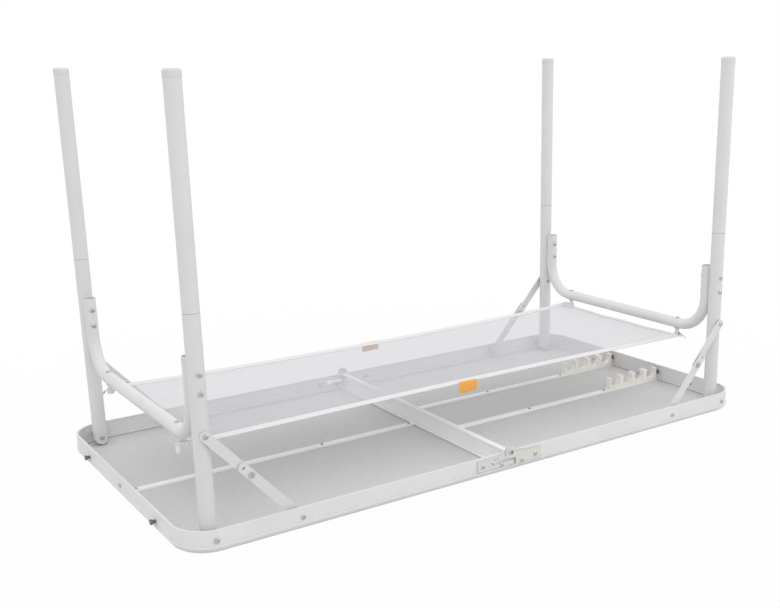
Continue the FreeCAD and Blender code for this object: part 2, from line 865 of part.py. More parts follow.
def stay_rail_pivots(label, end):
    """Shoulder rivets that carry the lower stays off the long walls."""
    start = f"({LOWER_LAYER} - layer_gap)"
    collar = f"({LOWER_LAYER} + stay_thickness + layer_gap)"
    stages = [
        ("pin_radius", "stay_thickness + 2 * layer_gap"),
        ("collar_radius", f"{INNER_Y} - {collar}"),
        ("pin_radius", "rim_wall"),
    ]
    x = f"{end} * {STAY_X}"
    return group(label, [side_pin(f"{label}_{n}", s, x, start, "pivot_height", stages) for n, s in SIDES])


for end_name, end in ENDS:
    bar_rivets(f"{end_name}_bar_rivets", end)
    leg_pivots(f"{end_name}_leg_pivots", end)
    stay_leg_pivots(f"{end_name}_stay_leg_pivots", end)
    stay_rail_pivots(f"{end_name}_stay_rail_pivots", end)


# Stays: two flat links to each leg, with the knee rivet shared between them

def link(label, reach, extra_holes):
    """A round-ended bar along X from its pivot, centred on the XZ plane."""
    body = new_body(label)
    half = "stay_width / 2"
    outline = new_sketch(body, "XZ_Plane")
    trace(
        outline,
        [
            (reach, f"-{half}"),
            (f"{reach} + {half}", "0", half, 1),
            (reach, half, half, 1),
            ("0", half),
            (f"-{half}", "0", half, 1),
            ("0", f"-{half}", half, 1),
        ],
    )
    pad(body, outline, "stay_thickness")
    holes = new_sketch(body, "XZ_Plane")
    circle(holes, "0", "0", "pin_radius + run_gap")
    for x, radius in extra_holes:
        circle(holes, x, "0", radius)
    pierce(body, holes)
    return body


def boss(body, way, x, radius, rise):
    """A round boss on the link's face towards negative Y for way 1, towards positive Y for way -1."""
    sketch = new_sketch(body, "XZ_Plane", f"{way} * stay_thickness / 2")
    circle(sketch, x, "0", radius)
    circle(sketch, x, "0", "eye_radius")
    pad(body, sketch, rise, reverse=way < 0, both_ways=False)


def upper_stay(label, end, side):
    body = link(label, UPPER_STAY, [(f"{UPPER_STAY} - stay_nose", "lock_hole_radius")])
    boss(body, side, UPPER_STAY, "head_radius", "head_rise")
    slope = f"-{STAY_SLOPE}" if end == LEFT else f"180 deg + {STAY_SLOPE}"
    y = f"{side} * ({UPPER_LAYER} + stay_thickness / 2)"
    place(body, f"{end} * {LEG_X}", y, "stay_leg_height", Rotation(Vector(0, -1, 0), QUARTER_TURN))
    bind(body, "Placement.Rotation.Angle", slope)
    return body


def lower_stay(label, end, side):
    lock = (f"{LOWER_STAY} + stay_nose", "lock_hole_radius")
    body = link(label, f"{LOWER_STAY} + stay_nose", [lock])
    boss(body, -side, LOWER_STAY, "head_radius", "head_rise")
    boss(body, side, LOWER_STAY, "knee_boss_radius", "head_rise + 2 * layer_gap")
    slope = f"180 deg - {STAY_SLOPE}" if end == LEFT else STAY_SLOPE
    y = f"{side} * ({LOWER_LAYER} + stay_thickness / 2)"
    place(body, f"{end} * {STAY_X}", y, "pivot_height", Rotation(Vector(0, -1, 0), QUARTER_TURN))
    bind(body, "Placement.Rotation.Angle", slope)
    return body


for end_name, end in ENDS:
    for kind, make in (("upper", upper_stay), ("lower", lower_stay)):
        label = f"{end_name}_{kind}_stays"
        group(label, [make(f"{label}_{n}", end, s) for n, s in SIDES])


# Catches: studs on the left end wall, swinging hooks on the right one

def closing_stud(label, side):
    points = [
        ("0", "-rim_wall"),
        ("stud_neck_radius", "-rim_wall"),
        ("stud_neck_radius", "stud_neck"),
        ("stud_head_radius", "stud_neck"),
        ("stud_head_radius", "stud_neck + stud_head"),
        ("0", "stud_neck + stud_head"),
    ]
    turn = Rotation(Vector(0, 1, 0), -QUARTER_TURN)
    return place(turned(label, points), f"-{WALL_X}", f"{side} * stud_spread", "catch_height", turn)


group("closing_studs", [closing_stud(f"closing_stud_{n}", s) for n, s in SIDES])
CATCH_REACH = "(2 * (rim_height - catch_height))"


def closing_hook(label, side):
    """A flat hook that lies along the end wall, with a notch that fits a stud's neck."""
    body = new_body(label)
    half, tip = "catch_width / 2", f"({CATCH_REACH} + catch_tail)"
    lift = f"{WALL_X} + layer_gap + catch_thickness / 2"
    outline = new_sketch(body, "YZ_Plane", lift)
    sign = -side
    trace(
        outline,
        [
            (f"{sign} * {tip}", f"-{half}"),
            (f"{sign} * {tip}", half),
            ("0", half),
            (f"{-sign} * {half}", "0", half, sign),
            ("0", f"-{half}", half, sign),
        ],
    )
    pad(body, outline, "catch_thickness")
    pivot = new_sketch(body, "YZ_Plane", lift)
    circle(pivot, "0", "0", "rivet_radius + run_gap")
    pierce(body, pivot)
    notch = new_sketch(body, "YZ_Plane", lift)
    slot = "(stud_neck_radius + layer_gap)"
    x0, x1 = (f"{sign} * {CATCH_REACH} - {slot}", f"{sign} * {CATCH_REACH} + {slot}")
    trace(notch, box_points(x0, f"-{half} - cut_over", x1, slot))
    pierce(body, notch)
    return place(body, "0", f"{side} * stud_spread", "catch_height")


closing_hooks = [closing_hook(f"{n}_closing_hook", s) for n, s in SIDES]


def hook_pivot(label, side):
    stages = [("rivet_radius", "rim_wall + catch_thickness + 2 * layer_gap")]
    turn = Rotation(Vector(0, 1, 0), QUARTER_TURN)
    return place(turned(label, pin_section(stages)), INNER_X, f"{side} * stud_spread", "catch_height", turn)


group("closing_hook_pivots", [hook_pivot(f"closing_hook_pivot_{n}", s) for n, s in SIDES])


# Carry strap between two end blocks on the right end wall

def rounded_block(label, x0, y0, z0, x1, y1, z1, radius):
    body = new_body(label)
    outline = new_sketch(body, "YZ_Plane", x0)
    trace(outline, box_points(y0, z0, y1, z1))
    block = pad(body, outline, f"{x1} - ({x0})", both_ways=False)
    doc.recompute()
    soft = body.newObject("PartDesign::Fillet", "soft_edges")
    top = [i for i, f in enumerate(block.Shape.Faces, 1) if f.CenterOfMass.x > number(x1) - number("run_gap")]
    soft.Base = (block, [f"Face{i}" for i in top])
    bind(soft, "Radius", radius)
    return body


STRAP_LOW = "(strap_height - strap_width / 2)"
STRAP_INNER = "(strap_spread - strap_end_length / 2)"
strap_face = f"{WALL_X} + strap_stand_off"
carry_strap = rounded_block(
    "carry_strap",
    strap_face,
    f"-{STRAP_INNER}",
    STRAP_LOW,
    f"{strap_face} + strap_thickness",
    STRAP_INNER,
    f"{STRAP_LOW} + strap_width",
    "strap_edge_round",
)
strap_ends = []
for side_name, side in SIDES:
    middle, half = f"{side} * strap_spread", "strap_end_length / 2"
    strap_ends.append(
        rounded_block(
            f"strap_end_{side_name}",
            WALL_X,
            f"{middle} - {half}",
            "strap_height - strap_end_width / 2",
            f"{WALL_X} + strap_end_rise",
            f"{middle} + {half}",
            "strap_height + strap_end_width / 2",
            "strap_round",
        )
    )
group("carry_strap_ends", strap_ends)


def strap_screw(label, side):
    """A screw end through the wall, with its nut inside."""
    points = [
        ("0", "-strap_nut_rise"),
        ("strap_nut_radius", "-strap_nut_rise"),
        ("strap_nut_radius", "0"),
        ("strap_screw_radius", "0"),
        ("strap_screw_radius", "rim_wall"),
        ("0", "rim_wall"),
    ]
    turn = Rotation(Vector(0, 1, 0), QUARTER_TURN)
    return place(turned(label, points), INNER_X, f"{side} * strap_spread", "strap_height", turn)


group("carry_strap_screws", [strap_screw(f"carry_strap_screw_{n}", s) for n, s in SIDES])


# Shelf net, stretched below the cross bars, with its hems, tags, buttons and corner loops
NET_BOW = "(net_end_width - net_waist)"
NET_CURVE = f"({NET_END}^2 + {NET_BOW}^2) / (2 * {NET_BOW})"


def flat_piece(label, points, thickness):
    body = new_body(label)
    outline = new_sketch(body, "XY_Plane", "net_height")
    trace(outline, points)
    pad(body, outline, thickness)
    return body


net_side = "(net_end_width - hem_width)"
shelf_net = flat_piece(
    "shelf_net",
    [
        (f"-{NET_END}", f"-{net_side}"),
        (NET_END, f"-{net_side}", NET_CURVE, -1),
        (NET_END, net_side),
        (f"-{NET_END}", net_side, NET_CURVE, -1),
    ],
    "net_thickness",
)
hems = []
for side_name, side in SIDES:
    inner, outer = f"{side} * {net_side}", f"{side} * net_end_width"
    hems.append(
        flat_piece(
            f"net_hem_{side_name}",
            [
                (f"-{NET_END}", inner),
                (NET_END, inner, NET_CURVE, side),
                (NET_END, outer),
                (f"-{NET_END}", outer, NET_CURVE, -side),
            ],
            "hem_thickness",
        )
    )
for end_name, end in ENDS:
    x0, x1 = (f"{end} * {NET_END}", f"{end} * {NET_EDGE}")
    hems.append(
        flat_piece(f"net_hem_{end_name}", box_points(x0, "-net_end_width", x1, "net_end_width"), "hem_thickness")
    )
group("net_hems", hems)


def net_tag(label, side):
    """A plain flap over the middle of a hem, which hangs down past its outer edge."""
    body = new_body(label)
    outline = new_sketch(body, "YZ_Plane")
    inner, edge = f"{side} * (net_waist - hem_width / 2)", f"{side} * (net_waist + layer_gap)"
    outer = f"{side} * (net_waist + layer_gap + tag_thickness)"
    top = "net_height + hem_thickness / 2"
    low, crown = f"{top} - tag_reach", f"{top} + tag_thickness"
    trace(outline, [(inner, top), (edge, top), (edge, low), (outer, low), (outer, crown), (inner, crown)])
    pad(body, outline, "tag_width")
    return body


group("net_tags", [net_tag(f"net_tag_{n}", s) for n, s in SIDES])


def net_buttons(label, end):
    pieces = []
    base = "bar_height - bar_radius"
    bore = "screw_radius + run_gap"
    for name, side in SIDES:
        points = [
            (bore, base),
            ("button_flange", base),
            ("button_flange", f"{base} - button_flange_rise"),
            ("button_post", f"{base} - button_flange_rise"),
            ("button_post", f"{base} - button_length + button_flange_rise"),
            ("button_flange", f"{base} - button_length + button_flange_rise"),
            ("button_flange", f"{base} - button_length"),
            (bore, f"{base} - button_length"),
        ]
        piece = turned(f"{label}_{name}", points)
        pieces.append(place(piece, f"{end} * {LEG_X}", f"{side} * button_spread"))
    return group(label, pieces)


def net_screws(label, end):
    pieces = []
    stages = [("screw_radius", "2 * bar_radius + button_length")]
    for name, side in SIDES:
        ends = {"tail": False, "head_radius": "screw_head_radius"}
        piece = turned(f"{label}_{name}", pin_section(stages, **ends))
        low = "bar_height - bar_radius - button_length"
        pieces.append(place(piece, f"{end} * {LEG_X}", f"{side} * button_spread", low))
    return group(label, pieces)


def net_loops(label, end):
    pieces = []
    for name, side in SIDES:
        body = new_body(f"{label}_{name}")
        reach = f"{LEG_X} - {NET_EDGE} - layer_gap"
        ring_plate(body, reach, "button_post + layer_gap", "loop_thickness", "net_height")
        pieces.append(place(body, f"{end} * {LEG_X}", f"{side} * button_spread"))
    return group(label, pieces)


for end_name, end in ENDS:
    net_buttons(f"{end_name}_net_buttons", end)
    net_screws(f"{end_name}_net_screws", end)
    net_loops(f"{end_name}_net_loops", end)


# Check every object, then write each piece that isn't inside a group
doc.recompute()
for thing in doc.Objects:
    if {"Invalid", "Error"} & set(thing.State):
        raise RuntimeError(f"{thing.Label} failed: {thing.State}")
grouped = {piece.Name for thing in doc.Objects if thing.TypeId == "Part::Compound" for piece in thing.Links}
pieces = [t for t in doc.Objects if t.TypeId in ("PartDesign::Body", "Part::Compound") and t.Name not in grouped]
for thing in pieces:
    if thing.Shape.isNull() or not thing.Shape.isValid():
        raise RuntimeError(f"{thing.Label} has no valid shape")
os.makedirs("parts", exist_ok=True)
for thing in pieces:
    thing.Shape.exportStep(f"parts/{thing.Label}.step")
    print(thing.Label, len(thing.Shape.Solids), round(thing.Shape.Volume))
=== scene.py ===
"""A folding camping table lying on its top: finishes, shelf net, small fasteners, studio and camera."""

import json
import math

import bmesh
import bpy
from mathutils import Matrix, Vector


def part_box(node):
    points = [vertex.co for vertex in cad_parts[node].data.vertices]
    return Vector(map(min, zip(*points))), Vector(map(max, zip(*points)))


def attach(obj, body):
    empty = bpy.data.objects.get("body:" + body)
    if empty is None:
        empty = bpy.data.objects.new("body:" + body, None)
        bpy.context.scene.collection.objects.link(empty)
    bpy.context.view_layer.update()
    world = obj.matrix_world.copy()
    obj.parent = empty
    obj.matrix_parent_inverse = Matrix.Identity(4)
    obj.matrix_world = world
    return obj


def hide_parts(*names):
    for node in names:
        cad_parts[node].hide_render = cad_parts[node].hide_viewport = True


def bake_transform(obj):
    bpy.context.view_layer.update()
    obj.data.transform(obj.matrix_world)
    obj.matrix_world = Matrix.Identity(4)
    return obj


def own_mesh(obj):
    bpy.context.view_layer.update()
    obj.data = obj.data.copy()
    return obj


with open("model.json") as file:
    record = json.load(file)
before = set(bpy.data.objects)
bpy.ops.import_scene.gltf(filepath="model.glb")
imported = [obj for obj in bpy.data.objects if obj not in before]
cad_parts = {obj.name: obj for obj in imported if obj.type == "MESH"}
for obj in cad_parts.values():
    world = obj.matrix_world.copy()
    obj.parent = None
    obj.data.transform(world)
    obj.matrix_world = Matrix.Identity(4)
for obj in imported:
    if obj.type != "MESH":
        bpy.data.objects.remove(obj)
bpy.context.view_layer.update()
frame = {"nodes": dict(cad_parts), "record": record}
nodes = frame["nodes"]
slot_of = {part["node"]: part["material_slot"] for part in frame["record"]["subparts"]}
MM = 0.001
LEFT, RIGHT = -1, 1
NEAR, FAR = -1, 1


# Materials

class Finish:
    """A material and its node tree, with short ways to add and join nodes."""

    def __init__(self, name):
        self.material = bpy.data.materials.new(name)
        self.material.use_nodes = True
        self.tree = self.material.node_tree
        self.shader = self.tree.nodes["Principled BSDF"]
        self.place = self.tree.nodes.new("ShaderNodeTexCoord").outputs["Object"]

    def feed(self, socket, value):
        """Joins another node's output to a socket, or sets the socket to a plain value."""
        if isinstance(value, bpy.types.NodeSocket):
            self.tree.links.new(value, socket)
        else:
            socket.default_value = value

    def node(self, kind, inputs=(), **settings):
        made = self.tree.nodes.new(f"ShaderNode{kind}")
        for key, value in settings.items():
            setattr(made, key, value)
        for key, value in dict(inputs).items():
            self.feed(made.inputs[key], value)
        return made

    def stretched(self, scale):
        return self.node("Mapping", {"Vector": self.place, "Scale": scale}).outputs["Vector"]

    def noise(self, scale, detail=2.0, roughness=0.5, place=None):
        inputs = {"Vector": place or self.place, "Scale": scale, "Detail": detail, "Roughness": roughness}
        return self.node("TexNoise", inputs).outputs["Fac"]

    def shades(self, factor, dark, light, low=0.3, high=0.7):
        ramp = self.node("ValToRGB", {"Fac": factor})
        ramp.color_ramp.elements[0].position = low
        ramp.color_ramp.elements[0].color = (*dark, 1)
        ramp.color_ramp.elements[1].position = high
        ramp.color_ramp.elements[1].color = (*light, 1)
        return ramp.outputs["Color"]

    def span(self, factor, low, high, start=0.3, end=0.7):
        inputs = {"Value": factor, "From Min": start, "From Max": end, "To Min": low, "To Max": high}
        return self.node("MapRange", inputs).outputs["Result"]

    def maths(self, operation, one, two=0.0):
        return self.node("Math", {0: one, 1: two}, operation=operation).outputs["Value"]

    def mixed(self, factor, one, two, blend_type="MIX"):
        made = self.node("Mix", data_type="RGBA", blend_type=blend_type)
        for key, value in ((0, factor), (6, one), (7, two)):
            self.feed(made.inputs[key], value)
        return made.outputs[2]

    def bump(self, height, strength, distance):
        inputs = {"Height": height, "Strength": strength, "Distance": distance}
        self.set("Normal", self.node("Bump", inputs).outputs["Normal"])

    def set(self, socket, value):
        self.feed(self.shader.inputs[socket], value)


def tone(colour, factor):
    return tuple(min(1.0, c * factor) for c in colour)


def satin_paint(name, colour):
    """Sprayed paint with a faint orange-peel surface and uneven gloss."""
    finish = Finish(name)
    cloud = finish.noise(7, 4)
    finish.set("Base Color", finish.shades(cloud, tone(colour, 0.965), tone(colour, 1.02)))
    finish.set("Roughness", finish.span(finish.noise(30, 3), 0.36, 0.5))
    finish.set("Specular IOR Level", 0.35)
    finish.bump(finish.noise(650, 2), 0.12, 0.0004)
    return finish.material


def faced_board(name, colour):
    """Matt board facing with fine fibre specks along the table."""
    finish = Finish(name)
    fibres = finish.noise(160, 6, 0.65, finish.stretched((0.35, 1.6, 1.6)))
    specks = finish.noise(900, 3, 0.7)
    base = finish.shades(fibres, tone(colour, 0.93), tone(colour, 1.05))
    speckled = finish.shades(specks, (0.86, 0.86, 0.86), (1, 1, 1), 0.32, 0.55)
    finish.set("Base Color", finish.mixed(1.0, base, speckled, "MULTIPLY"))
    finish.set("Roughness", finish.span(specks, 0.55, 0.75))
    finish.bump(specks, 0.15, 0.0003)
    return finish.material


def zinc_plate(name, colour, shift):
    """Zinc plating: small bright flakes, a cast that wanders a little, and scuffed gloss."""
    finish = Finish(name)
    cast = finish.noise(35, 4)
    flakes = finish.node("TexVoronoi", {"Vector": finish.place, "Scale": 520}).outputs["Color"]
    grey = finish.node("RGBToBW", {"Color": flakes}).outputs["Val"]
    base = finish.shades(cast, colour, shift)
    flaked = finish.shades(grey, (0.94, 0.94, 0.94), (1, 1, 1), 0.2, 0.8)
    finish.set("Base Color", finish.mixed(1.0, base, flaked, "MULTIPLY"))
    finish.set("Metallic", 0.75)
    finish.set("Roughness", finish.span(finish.noise(240, 5), 0.34, 0.5))
    finish.bump(finish.noise(900, 3, 0.6, finish.stretched((0.2, 1, 1))), 0.1, 0.0002)
    return finish.material


def turned_metal(name, colour):
    """Rivets and screws: plated steel with fine turning marks."""
    finish = Finish(name)
    wear = finish.noise(220, 4)
    finish.set("Base Color", finish.shades(wear, tone(colour, 0.78), tone(colour, 1.05)))
    finish.set("Metallic", 1.0)
    finish.set("Roughness", finish.span(wear, 0.28, 0.45))
    finish.bump(finish.noise(2600, 2), 0.1, 0.0001)
    return finish.material


def stay_paint(name, colour, metal, knee, radius):
    """Satin paint with a plated rivet at the knee, which lies as far out at both ends of the table."""
    finish = Finish(name)
    axes = finish.node("SeparateXYZ", {"Vector": finish.place}).outputs
    out = finish.maths("SUBTRACT", finish.maths("ABSOLUTE", axes["X"]), knee.x)
    up = finish.maths("SUBTRACT", axes["Z"], knee.z)
    squares = [finish.maths("MULTIPLY", d, d) for d in (out, up)]
    away = finish.maths("SQRT", finish.maths("ADD", *squares))
    plated = finish.maths("LESS_THAN", away, radius)
    cloud = finish.noise(7, 4)
    paint = finish.shades(cloud, tone(colour, 0.965), tone(colour, 1.02))
    plate = finish.shades(finish.noise(220, 4), tone(metal, 0.8), tone(metal, 1.05))
    finish.set("Base Color", finish.mixed(plated, paint, plate))
    finish.set("Metallic", finish.maths("MULTIPLY", plated, 0.9))
    finish.set("Roughness", finish.span(finish.noise(30, 3), 0.34, 0.48))
    finish.bump(finish.noise(650, 2), 0.12, 0.0004)
    return finish.material


def moulded_plastic(name, colour, roughness):
    """Moulded plastic with a fine spark-eroded grain."""
    finish = Finish(name)
    grain = finish.noise(1500, 2)
    finish.set("Base Color", finish.shades(finish.noise(25, 3), tone(colour, 0.95), tone(colour, 1.03)))
    finish.set("Roughness", finish.span(grain, roughness - 0.06, roughness + 0.08))
    finish.bump(grain, 0.12, 0.0002)
    return finish.material


def net_mesh(name, colour, pitch, cell_cover, thread_cover):
    """Fine knitted mesh: crossing threads that are nearly solid, with see-through cells between them."""
    finish = Finish(name)
    axes = finish.node("SeparateXYZ", {"Vector": finish.place}).outputs
    diagonals = (
        finish.maths("ADD", axes["X"], axes["Y"]),
        finish.maths("SUBTRACT", axes["X"], axes["Y"]),
    )
    waves = [finish.maths("SINE", finish.maths("MULTIPLY", d, 2 * math.pi / pitch)) for d in diagonals]
    thread = finish.maths("MAXIMUM", *[finish.maths("ABSOLUTE", w) for w in waves])
    cover = finish.span(thread, cell_cover, thread_cover, 0.75, 0.95)
    finish.set("Alpha", cover)
    finish.set("Base Color", finish.shades(finish.noise(18, 3), tone(colour, 0.97), tone(colour, 1.02)))
    finish.set("Roughness", 0.7)
    finish.set("Sheen Weight", 0.25)
    finish.bump(thread, 0.3, 0.0004)
    return finish.material


def woven_tape(name, colour, rib):
    """Narrow woven tape with ribs across it and a soft sheen."""
    finish = Finish(name)
    axes = finish.node("SeparateXYZ", {"Vector": finish.place}).outputs
    ribs = finish.maths("SINE", finish.maths("MULTIPLY", axes["X"], 2 * math.pi / rib))
    across = finish.maths("SINE", finish.maths("MULTIPLY", axes["Y"], 2 * math.pi / (1.7 * rib)))
    weave = finish.maths("MULTIPLY", ribs, across)
    shade = finish.span(weave, 0.0, 1.0, -1, 1)
    finish.set("Base Color", finish.shades(shade, tone(colour, 0.93), tone(colour, 1.02)))
    finish.set("Roughness", 0.78)
    finish.set("Sheen Weight", 0.3)
    finish.bump(weave, 0.35, 0.0004)
    return finish.material


joints = {joint["name"]: joint for joint in frame["record"]["behaviour"]["joints"]}


def knee_place(end):
    """The knee of a leg pair's stays: both links reach it in line, and they fold flat beside the leg."""
    foot, head = (Vector(joints[f"{end}_{kind}_stay_fold"]["pos_m"]) for kind in ("lower", "upper"))
    along = head - foot
    share = (along.length + along.z - abs(along.x)) / (2 * along.length)
    return foot + along * share


PAINT = (0.78, 0.78, 0.778)
TUBE_PAINT = (0.72, 0.72, 0.72)
RIVET = (0.56, 0.56, 0.54)
finishes = {
    "frame_aluminium": satin_paint("rim_paint", PAINT),
    "leg_aluminium": satin_paint("tube_paint", TUBE_PAINT),
    "rib_steel": satin_paint("rib_paint", (0.95, 0.95, 0.945)),
    "panel_board": faced_board("panel_facing", (0.67, 0.67, 0.667)),
    "foot_plastic": moulded_plastic("foot_plastic", (0.69, 0.69, 0.685), 0.5),
    "zinc_steel": zinc_plate("zinc_plate", (0.7, 0.71, 0.69), (0.76, 0.77, 0.75)),
    "rivet_steel": turned_metal("rivet_steel", RIVET),
    "clip_plastic": moulded_plastic("clip_plastic", (0.93, 0.885, 0.835), 0.42),
    "stud_black": moulded_plastic("stud_black", (0.15, 0.138, 0.122), 0.38),
    "strap_black": moulded_plastic("strap_black", (0.045, 0.045, 0.047), 0.5),
    "net_fabric": net_mesh("net_mesh", (0.53, 0.52, 0.56), 2.4 * MM, 0.4, 0.8),
    "hem_fabric": woven_tape("hem_tape", (0.77, 0.765, 0.785), 1.6 * MM),
    "tag_orange": woven_tape("tag_tape", (0.93, 0.42, 0.07), 1.2 * MM),
}
knee = knee_place("right")
painted_stay = stay_paint("stay_paint", TUBE_PAINT, RIVET, knee, 5.2 * MM)
button_white = moulded_plastic("button_white", (0.78, 0.78, 0.775), 0.45)
# Painted light: the cross rails get a lighter copy of the frame's paint, so that their faces inside the
# tray look as lit as open surfaces.
rail_paint_with_painted_light = satin_paint("rail_paint_with_painted_light", (0.9, 0.9, 0.895))
own_finish = {
    "left_cross_rail": rail_paint_with_painted_light,
    "right_cross_rail": rail_paint_with_painted_light,
    "left_hinge_plates": zinc_plate("zinc_cold", (0.66, 0.7, 0.69), (0.72, 0.75, 0.74)),
    "right_hinge_plates": zinc_plate("zinc_warm", (0.7, 0.69, 0.62), (0.73, 0.73, 0.69)),
    "left_upper_stays": painted_stay,
    "right_upper_stays": painted_stay,
    "left_lower_stays": painted_stay,
    "right_lower_stays": painted_stay,
    "left_net_buttons": button_white,
    "right_net_buttons": button_white,
    "carry_strap_screws": turned_metal("nut_dark", (0.3, 0.29, 0.275)),
}
for name, node in nodes.items():
    node.data.materials.clear()
    node.data.materials.append(own_finish.get(name) or finishes[slot_of[name]])


# Mesh helpers

def new_piece(name, vertices, faces, material):
    mesh = bpy.data.meshes.new(name)
    mesh.from_pydata([tuple(v) for v in vertices], [], faces)
    mesh.materials.append(material)
    mesh.validate()
    piece = bpy.data.objects.new(name, mesh)
    bpy.context.scene.collection.objects.link(piece)
    for face in mesh.polygons:
        face.use_smooth = True
    return piece


def grid_faces(rows, columns):
    return [
        (r * columns + c, (r + 1) * columns + c, (r + 1) * columns + c + 1, r * columns + c + 1)
        for r in range(rows - 1)
        for c in range(columns - 1)
    ]


def swept_band(name, sections, material):
    """A closed band through a row of equal loops of points, with both ends capped."""
    count = len(sections[0])
    faces = []
    for r in range(len(sections) - 1):
        for c in range(count):
            d = (c + 1) % count
            faces.append((r * count + c, r * count + d, (r + 1) * count + d, (r + 1) * count + c))
    last = (len(sections) - 1) * count
    faces.append(tuple(reversed(range(count))))
    faces.append(tuple(last + c for c in range(count)))
    piece = new_piece(name, [p for loop in sections for p in loop], faces, material)
    outward_faces(piece)
    piece.data.set_sharp_from_angle(angle=math.radians(60))
    return piece


def outward_faces(piece):
    work = bmesh.new()
    work.from_mesh(piece.data)
    bmesh.ops.remove_doubles(work, verts=work.verts, dist=1e-7)
    bmesh.ops.recalc_face_normals(work, faces=work.faces)
    work.to_mesh(piece.data)
    work.free()


def steps(start, stop, count):
    return [start + (stop - start) * i / (count - 1) for i in range(count)]


# Shelf net: a stretched sheet that sags a little, drawn in at its waist

net_low, net_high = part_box("shelf_net")
hem_low, hem_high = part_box("net_hems")
NET_LEVEL = (net_low.z + net_high.z) / 2
NET_END = net_high.x
HEM_END = hem_high.x
END_HALF = hem_high.y
HEM_WIDTH = END_HALF - net_high.y
WAIST_DRAW = 16 * MM
SAG = 4 * MM
HEM_THICK = hem_high.z - hem_low.z
FOLD_REACH = 0.15
TUCK_START = NET_END - 60 * MM


def half_width(x):
    """Distance from the middle line to the hem's outer edge."""
    return END_HALF - WAIST_DRAW * (1 - min(1.0, (x / NET_END) ** 2))


def net_level(x, across):
    """Height of the cloth; across runs from -1 to 1 between the hems."""
    along = x / NET_END
    sag = SAG * (1 - along**2) * (0.45 + 0.55 * (1 - across**2))
    tug = 1.6 * MM * abs(across) * along**8
    ripple = 0.9 * MM * math.sin(9 * across + 2.2 * along) * along**6 * (1 - across**2)
    return NET_LEVEL - sag + ripple + tug


def net_section(name, start, stop):
    columns = 41
    rows = max(12, round((stop - start) / (10 * MM)))
    points = []
    for x in steps(start, stop, rows):
        inner = half_width(x) - HEM_WIDTH / 2
        for across in steps(-1, 1, columns):
            points.append((x, across * inner, net_level(x, across)))
    faces = [tuple(reversed(face)) for face in grid_faces(rows, columns)]
    return new_piece(name, points, faces, finishes["net_fabric"])


def band_loop(centre, across, width, thick):
    """A flat rounded section round a point, laid along the direction across."""
    loop = []
    for i in range(10):
        angle = 2 * math.pi * i / 10
        wide = math.copysign(abs(math.cos(angle)) ** 0.45, math.cos(angle)) * width / 2
        high = math.copysign(abs(math.sin(angle)) ** 0.7, math.sin(angle)) * thick / 2
        loop.append(Vector(centre) + Vector(across) * wide + Vector((0, 0, high)))
    return loop


def hem_section(name, start, stop, side):
    loops = []
    for x in steps(start, stop, max(10, round((stop - start) / (15 * MM)))):
        y = side * (half_width(x) - HEM_WIDTH / 2)
        loops.append(band_loop((x, y, net_level(x, side)), (0, side, 0), HEM_WIDTH, HEM_THICK))
    return swept_band(name, loops, finishes["hem_fabric"])


def end_hem(name, end):
    x = end * (NET_END + HEM_END) / 2
    loops = []
    for across in steps(-1, 1, 41):
        centre = (x, across * END_HALF * 0.998, net_level(end * NET_END, across))
        loops.append(band_loop(centre, (1, 0, 0), HEM_END - NET_END, HEM_THICK))
    return swept_band(name, loops, finishes["hem_fabric"])


def stitch_tree(name, material):
    """Nodes that lay short threads along a line of points."""
    tree = bpy.data.node_groups.new(name, "GeometryNodeTree")
    face = tree.interface
    face.new_socket("Geometry", in_out="INPUT", socket_type="NodeSocketGeometry")
    for label, value in (("Spacing", 5 * MM), ("Length", 3 * MM), ("Thickness", 0.7 * MM)):
        face.new_socket(label, in_out="INPUT", socket_type="NodeSocketFloat").default_value = value
    face.new_socket("Geometry", in_out="OUTPUT", socket_type="NodeSocketGeometry")
    add, link = tree.nodes.new, tree.links.new
    entry, leave = add("NodeGroupInput"), add("NodeGroupOutput")
    line, spaced = add("GeometryNodeMeshToCurve"), add("GeometryNodeCurveToPoints")
    spaced.mode = "LENGTH"
    thread, size = add("GeometryNodeMeshCylinder"), add("ShaderNodeCombineXYZ")
    thread.inputs["Vertices"].default_value = 6
    thread.inputs["Radius"].default_value = 0.5
    thread.inputs["Depth"].default_value = 1.0
    aim = add("FunctionNodeAlignRotationToVector")
    aim.axis = "Z"
    tangent = add("GeometryNodeInputTangent")
    keep_tangent = add("GeometryNodeCaptureAttribute")
    keep_tangent.capture_items.new("VECTOR", "Tangent")
    spread, real = add("GeometryNodeInstanceOnPoints"), add("GeometryNodeRealizeInstances")
    paint = add("GeometryNodeSetMaterial")
    paint.inputs["Material"].default_value = material
    link(entry.outputs["Geometry"], line.inputs["Mesh"])
    link(line.outputs["Curve"], keep_tangent.inputs["Geometry"])
    link(tangent.outputs["Tangent"], keep_tangent.inputs["Tangent"])
    link(keep_tangent.outputs["Geometry"], spaced.inputs["Curve"])
    link(entry.outputs["Spacing"], spaced.inputs["Length"])
    link(keep_tangent.outputs["Tangent"], aim.inputs["Vector"])
    link(entry.outputs["Thickness"], size.inputs["X"])
    link(entry.outputs["Thickness"], size.inputs["Y"])
    link(entry.outputs["Length"], size.inputs["Z"])
    link(spaced.outputs["Points"], spread.inputs["Points"])
    link(thread.outputs["Mesh"], spread.inputs["Instance"])
    link(aim.outputs["Rotation"], spread.inputs["Rotation"])
    link(size.outputs["Vector"], spread.inputs["Scale"])
    link(spread.outputs["Instances"], real.inputs["Geometry"])
    link(real.outputs["Geometry"], paint.inputs["Geometry"])
    link(paint.outputs["Geometry"], leave.inputs["Geometry"])
    return tree


